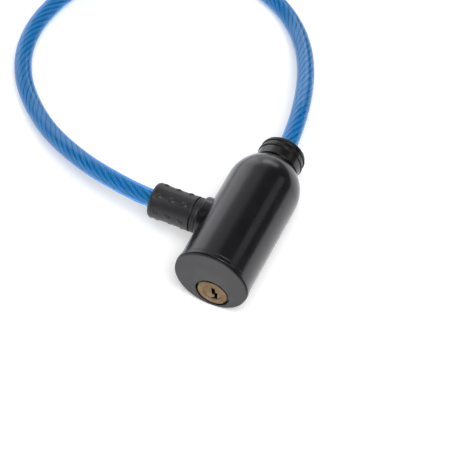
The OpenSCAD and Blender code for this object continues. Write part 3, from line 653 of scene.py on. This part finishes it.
def make_grip(material):
    t0, t1 = GRIP_FACE, GRIP_END
    outline = softened([(5.2, t0, 0), (GRIP_R, t0, 0.3), (GRIP_R, t0 + 1, 0)])[:-1]
    outline += [(grip_radius(t), t) for t in (t0 + 0.45 + (t1 - t0 - 1.75) * k / 130 for k in range(131))]
    outline += softened([(GRIP_R, t1 - 1.25, 0), (GRIP_R - 0.02, t1 - 1.0, 0.2), (GRIP_R - 0.5, t1 - 0.12, 0.4),
                         (GRIP_R - 1.3, t1, 0.2), (4.7, t1, 0.2), (4.15, t1 - 0.4, 0.1), (4.15, t1 - 1.3, 0),
                         (5.2, t1 - 1.3, 0)])[1:]
    grip = turned("grip_shell", outline, on_plug, 480, grip_relief, sharp=60)
    dressed(grip, material, "grip_sleeve", "plug")


def make_collar(material):
    outline = softened([(4.06, 17.4, 0), (7.25, 17.4, 0.1), (7.75, 17.9, 0.3), (7.75, 18.85, 0.03),
                        (7.58, 19.0, 0.03), (7.75, 19.15, 0.03), (7.75, 19.9, 0.2), (4.06, 19.9, 0)])
    dressed(turned("plug_collar", outline, on_plug, 160), material, "pin_collar", "plug")


def make_seal(material):
    outline = softened([(4.06, 19.9, 0), (7.15, 19.9, 0.15), (7.15, 20.5, 0.15), (4.06, 20.5, 0)])
    dressed(turned("seal_lip", outline, on_plug, 144), material, "seal_ring", "plug")


# ---------------------------------------------------------------- floor and light

FLOOR_REACH = 9000
NEAR_GLOW, FAR_GLOW = 0.3, 0.75
LAMPS_REACH, LAMPS_END = 0.9, 2.2     # metres from the middle, where the lamplight fades


def make_floor():
    """White paper that reads as white where nothing shades it; its glow grows where the lamps fade."""
    material = bpy.data.materials.new("white_paper_sweep")
    material.use_nodes = True
    tree = material.node_tree
    tree.nodes.clear()
    rays = add(tree, "ShaderNodeLightPath").node.outputs
    seen = add(tree, "ShaderNodeMath", {0: rays["Is Camera Ray"], 1: rays["Is Glossy Ray"]}, operation="MAXIMUM")
    seen = add(tree, "ShaderNodeMath", {0: seen, 1: rays["Is Transmission Ray"]}, operation="MAXIMUM")
    where = add(tree, "ShaderNodeTexCoord").node.outputs["Object"]
    away = add(tree, "ShaderNodeVectorMath", {0: where}, operation="LENGTH").node.outputs["Value"]
    level = add(tree, "ShaderNodeMapRange", {"Value": away, "From Min": LAMPS_REACH, "From Max": LAMPS_END,
                                             "To Min": NEAR_GLOW, "To Max": FAR_GLOW})
    glow = add(tree, "ShaderNodeMath", {0: seen, 1: level}, operation="MULTIPLY")
    paper = add(tree, "ShaderNodeBsdfDiffuse", {"Color": srgb("#F4F4F4")})
    lit = add(tree, "ShaderNodeEmission", {"Color": (1, 1, 1, 1), "Strength": glow})
    both = add(tree, "ShaderNodeAddShader", {0: paper, 1: lit})
    add(tree, "ShaderNodeOutputMaterial", {"Surface": both})
    r = FLOOR_REACH
    floor = new_piece("floor", [(-r, -r, 0), (r, -r, 0), (r, r, 0), (-r, r, 0)], [(0, 1, 2, 3)])
    floor.data.materials.append(material)


LAMP_AIM = Vector((-0.01, 0.0, 0.016))
WHITE_WALL, DARK_WALL, DARK_CEILING, BACK_CEILING = 1.0, 0.13, 0.1, 0.58     # brightness


def hang_lamp(name, place, size, watts):
    data = bpy.data.lights.new(name, "AREA")
    data.shape, data.size, data.size_y, data.energy = "RECTANGLE", size[0], size[1], watts
    lamp = bpy.data.objects.new(name, data)
    bpy.context.scene.collection.objects.link(lamp)
    lamp.location = place
    lamp.rotation_mode = "QUATERNION"
    lamp.rotation_quaternion = (LAMP_AIM - Vector(place)).to_track_quat("-Z", "Y")


def light_studio():
    """White wall on the left under a dark ceiling, a dark wall on the right, and soft boxes."""
    world = bpy.data.worlds.new("studio")
    bpy.context.scene.world = world
    world.use_nodes = True
    tree = world.node_tree
    tree.nodes.clear()
    direction = add(tree, "ShaderNodeTexCoord").node.outputs["Generated"]
    across = add(tree, "ShaderNodeSeparateXYZ", {0: direction})
    side = add(tree, "ShaderNodeMapRange", {"Value": across, "From Min": -0.22, "From Max": 0.08},
               interpolation_type="SMOOTHSTEP")
    back = add(tree, "ShaderNodeMapRange", {"Value": across.node.outputs[1], "From Min": 0.1, "From Max": 0.4})
    rise = add(tree, "ShaderNodeMath", {0: back, 1: -0.33, 2: across.node.outputs[2]}, operation="MULTIPLY_ADD")
    low = add(tree, "ShaderNodeMapRange", {"Value": rise, "From Min": 0.17, "From Max": 0.37},
              interpolation_type="SMOOTHSTEP")
    high = add(tree, "ShaderNodeMapRange", {"Value": back, "To Min": DARK_CEILING, "To Max": BACK_CEILING})
    wall = add(tree, "ShaderNodeMix", {FACTOR: low, LEVEL_A: WHITE_WALL, LEVEL_B: high})
    level = add(tree, "ShaderNodeMix", {FACTOR: side, LEVEL_A: wall, LEVEL_B: DARK_WALL})
    room = add(tree, "ShaderNodeBackground", {"Color": (1, 1, 1, 1), "Strength": level})
    add(tree, "ShaderNodeOutputWorld", {"Surface": room})
    hang_lamp("left_softbox", (-0.86, 0.60, 0.32), (1.0, 0.7), 1.5)
    hang_lamp("key_softbox", (0.33, -0.39, 1.0), (0.8, 0.8), 12.0)
    hang_lamp("back_softbox", (-0.10, 0.98, 0.47), (0.6, 0.28), 0.8)
    hang_lamp("right_card", (0.64, 0.55, 0.54), (0.2, 0.3), 0.1)
    bpy.context.scene.view_settings.view_transform = "Standard"


# ---------------------------------------------------------------- put together

aim_camera()

lacquer = finish("baked_black_lacquer", baked_lacquer, IOR=1.5, Specular_Tint=srgb("#F3F2FF"),
                 Coat_Weight=0.3, Coat_Roughness=0.08)
abs_black = finish("moulded_black_abs", moulded_abs, IOR=1.53)
coat = finish("grey_powder_coat", powder_coat, IOR=1.5)
grip_finish = finish("moulded_grip_polypropylene", moulded_grip, IOR=1.49)
seal_finish = finish("nitrile_rubber", nitrile, IOR=1.52)
brass = finish("faced_brass", faced_brass, Metallic=1.0)
pin_steel = finish("ground_steel", ground_steel, Metallic=1.0)
steel = finish("machined_steel", machined_steel, Metallic=1.0)
zinc = finish("die_cast_zinc", cast_zinc, Metallic=1.0)
wire = finish("galvanised_wire_strand", galvanised_wire, Metallic=1.0, Roughness=0.7)
pvc = finish("tinted_clear_pvc", tinted_pvc, IOR=1.45, Transmission_Weight=0.78)

jacket, centre_line = make_jacket(pvc)
strands = make_strands(wire)

# The cable's strands and jacket get their placement baked into their points.
for soft in (strands, jacket):
    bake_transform(soft)

make_shell(lacquer)
make_band(lacquer)
make_face(coat)
make_neck(abs_black)
make_boss(lacquer)
make_key_pins(brass)
make_grip(grip_finish)
make_collar(grip_finish)
make_seal(seal_finish)

FINISHES = {
    "lock_body": zinc, "cylinder_housing": brass, "key_plug": brass, "driver_pins": steel,
    "pin_springs": steel, "chamber_cover": brass, "plug_clip": steel, "drive_cam": steel, "latch": steel,
    "latch_spring": steel, "retaining_pin": steel, "gland_nut": steel, "swivel_washer": steel,
    "cable_ferrule": steel, "pin_ferrule": steel, "lock_pin": pin_steel,
}
for name, material in FINISHES.items():
    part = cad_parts[name]
    part.data.materials.clear()
    part.data.materials.append(material)

make_floor()
light_studio()
